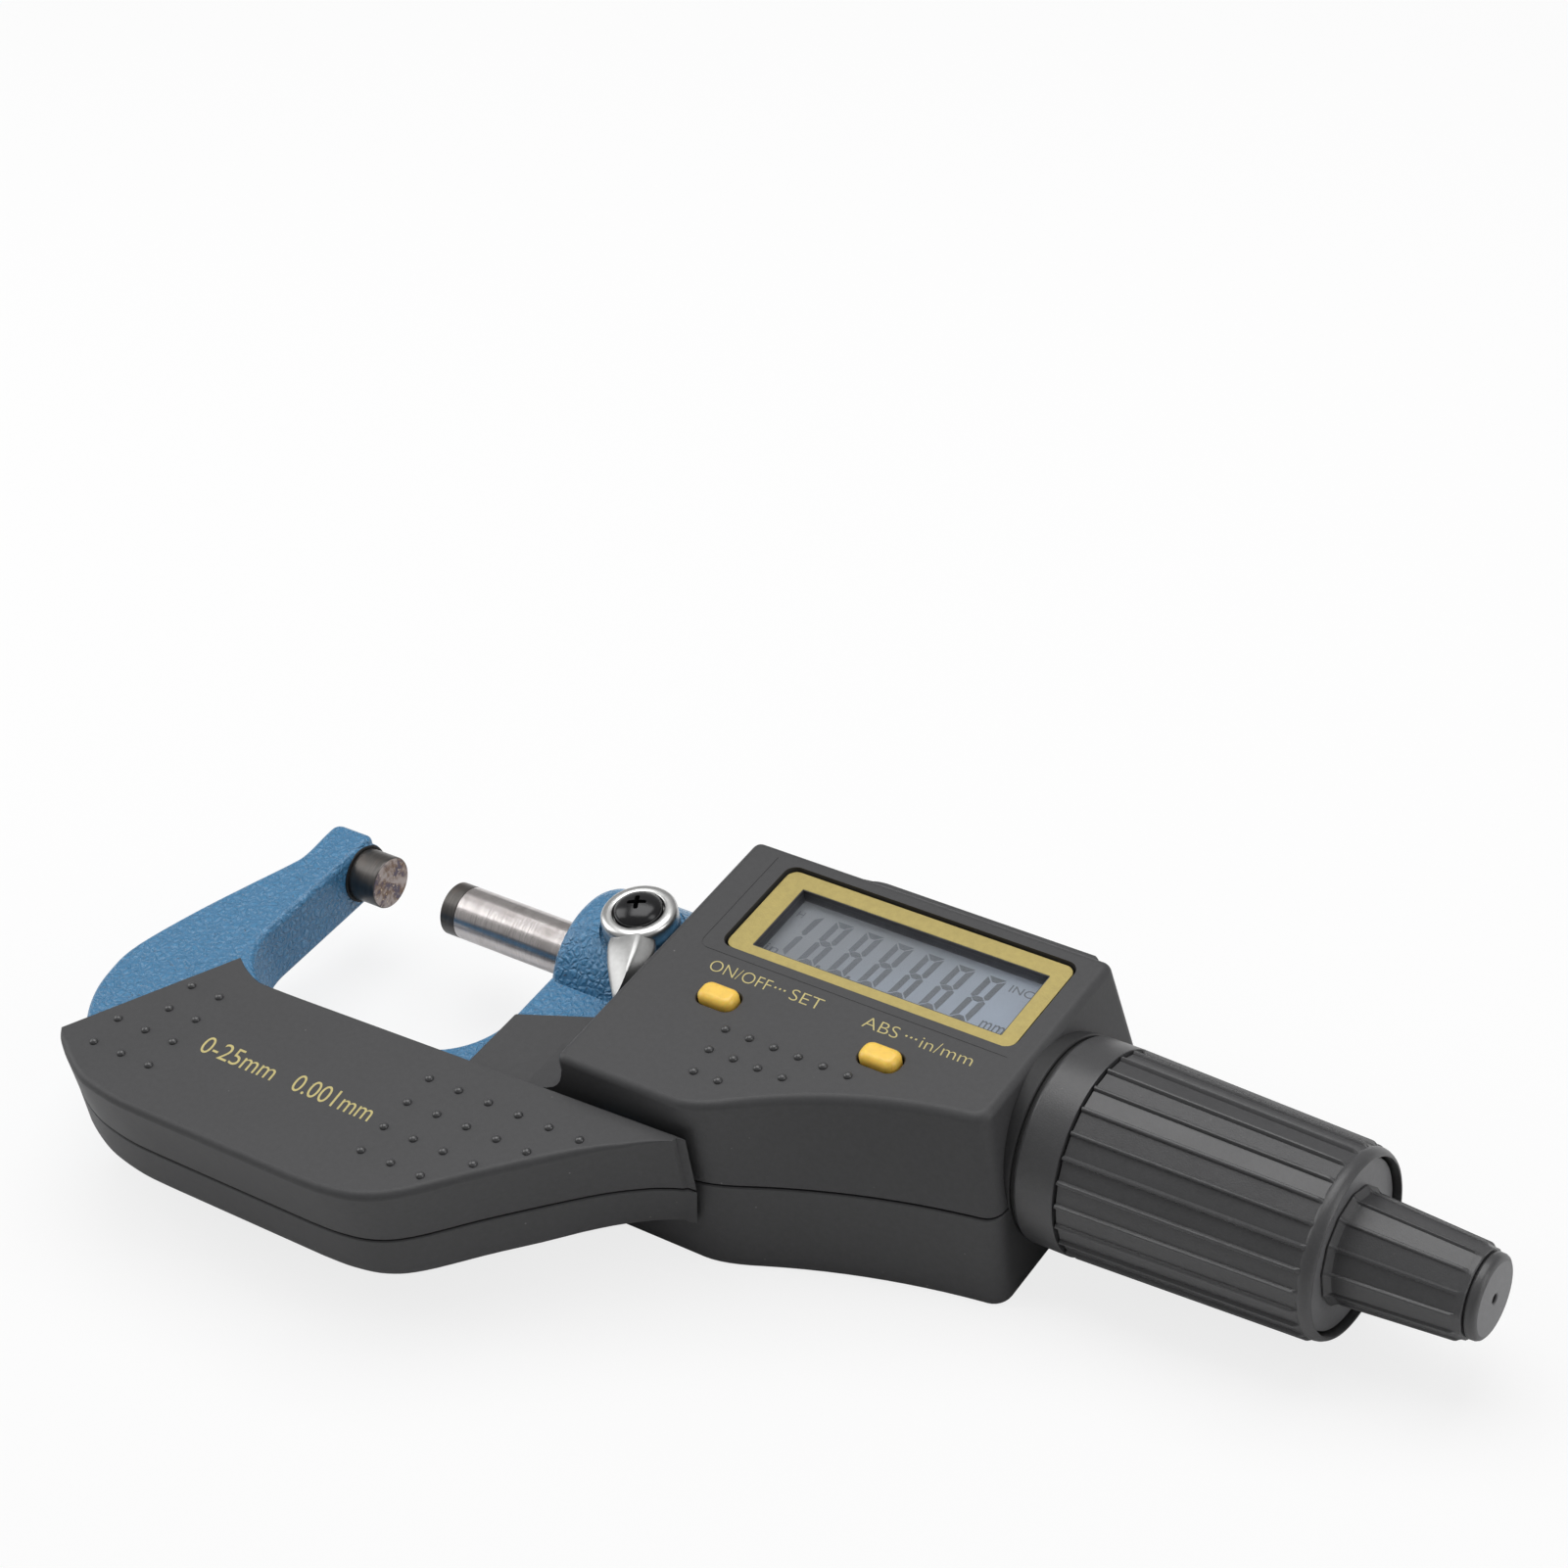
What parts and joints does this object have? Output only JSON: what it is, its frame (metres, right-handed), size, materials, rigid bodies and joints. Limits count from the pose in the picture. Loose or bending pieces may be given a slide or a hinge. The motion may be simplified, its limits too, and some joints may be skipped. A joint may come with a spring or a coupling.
{
  "type": "digital outside micrometer",
  "caption": "Digital outside micrometer: U-shaped blue frame, dark grip and display housing, lock lever, ribbed thimble and ratchet knob.",
  "frame": {"origin": "centre of the anvil's measuring face", "axes": "+X along the spindle axis from the anvil to the thimble, +Y from the hand grip to the display's top edge, +Z out of the display; the part lies on its back"},
  "size_m": [0.1651, 0.0648, 0.0254],
  "materials": {
    "blue_paint": "blue hammered enamel on a casting",
    "dark_plastic": "fine matte texture",
    "satin_grey": "satin dark grey paint",
    "disc_grey": "satin grey",
    "ground_steel": "ground and polished",
    "carbide": "lapped hard metal",
    "satin_chrome": "satin chrome on steel",
    "black_steel": "black finish",
    "brass": "turned",
    "gold_print": "gold satin",
    "amber_plastic": "amber gloss",
    "clear_plastic": "clear",
    "lcd_grey": "grey liquid crystal glass",
    "board_green": "green solder mask",
    "battery_steel": "nickel plated"
  },
  "bodies": {
    "frame": {"frame": "blue_paint", "anvil": "carbide", "spindle_sleeve": "ground_steel", "spindle_nut": "brass", "clamp_pad": "brass", "grip_front": "dark_plastic", "grip_back": "dark_plastic", "housing_front": "dark_plastic", "housing_back": "dark_plastic", "display_bezel": "gold_print", "display_window": "clear_plastic", "lcd_panel": "lcd_grey", "circuit_board": "board_green", "switch_power": "black_steel", "switch_mode": "black_steel", "battery": "battery_steel", "battery_contact": "brass", "encoder_stator": "board_green", "thimble_bearing": "brass", "housing_screw_1": "black_steel", "housing_screw_2": "black_steel", "housing_screw_3": "black_steel", "housing_screw_4": "black_steel", "grip_screw_1": "black_steel", "grip_screw_2": "black_steel"},
    "thimble": {"thimble_core": "satin_grey", "encoder_rotor": "board_green", "thimble_grip": "satin_grey", "thimble_end_disc": "disc_grey"},
    "spindle": {"spindle": "ground_steel", "spindle_tip": "carbide"},
    "ratchet": {"ratchet_knob": "satin_grey", "ratchet_shaft": "ground_steel", "click_wheel": "ground_steel", "ratchet_spring": "ground_steel", "ratchet_cap": "satin_grey"},
    "lock": {"lock_lever": "satin_chrome", "lock_screw": "black_steel", "clamp_screw": "ground_steel"},
    "button_power": {"button_power": "amber_plastic"},
    "button_mode": {"button_mode": "amber_plastic"},
    "battery_cover": {"battery_cover": "dark_plastic"}
  },
  "joints": [
    {"name": "thimble_turn", "type": "hinge", "parent": "frame", "child": "thimble", "pos_m": [0.1, 0, 0], "axis": [1, 0, 0], "range_deg": [-7416, 10512]},
    {"name": "spindle_feed", "type": "slide", "parent": "thimble", "child": "spindle", "axis": [1, 0, 0], "range_m": [-0.01031, 0.01461]},
    {"name": "ratchet_turn", "type": "hinge", "parent": "thimble", "child": "ratchet", "pos_m": [0.1303, 0, 0], "axis": [1, 0, 0], "continuous": true},
    {"name": "lock_turn", "type": "hinge", "parent": "frame", "child": "lock", "pos_m": [0.0401, 0, 0.009], "axis": [0, 0, 1], "range_deg": [-60, 6]},
    {"name": "power_press", "type": "slide", "parent": "frame", "child": "button_power", "axis": [0, 0, -1], "range_m": [0, 0.0005], "stiffness_N_per_m": 800},
    {"name": "mode_press", "type": "slide", "parent": "frame", "child": "button_mode", "axis": [0, 0, -1], "range_m": [0, 0.0005], "stiffness_N_per_m": 800},
    {"name": "cover_pull", "type": "slide", "parent": "frame", "child": "battery_cover", "axis": [0, 1, 0], "range_m": [0, 0.012]}
  ],
  "couplings": [
    {"joint": "spindle_feed", "follows": "thimble_turn", "m_per_rad": 0.000079577}
  ]
}
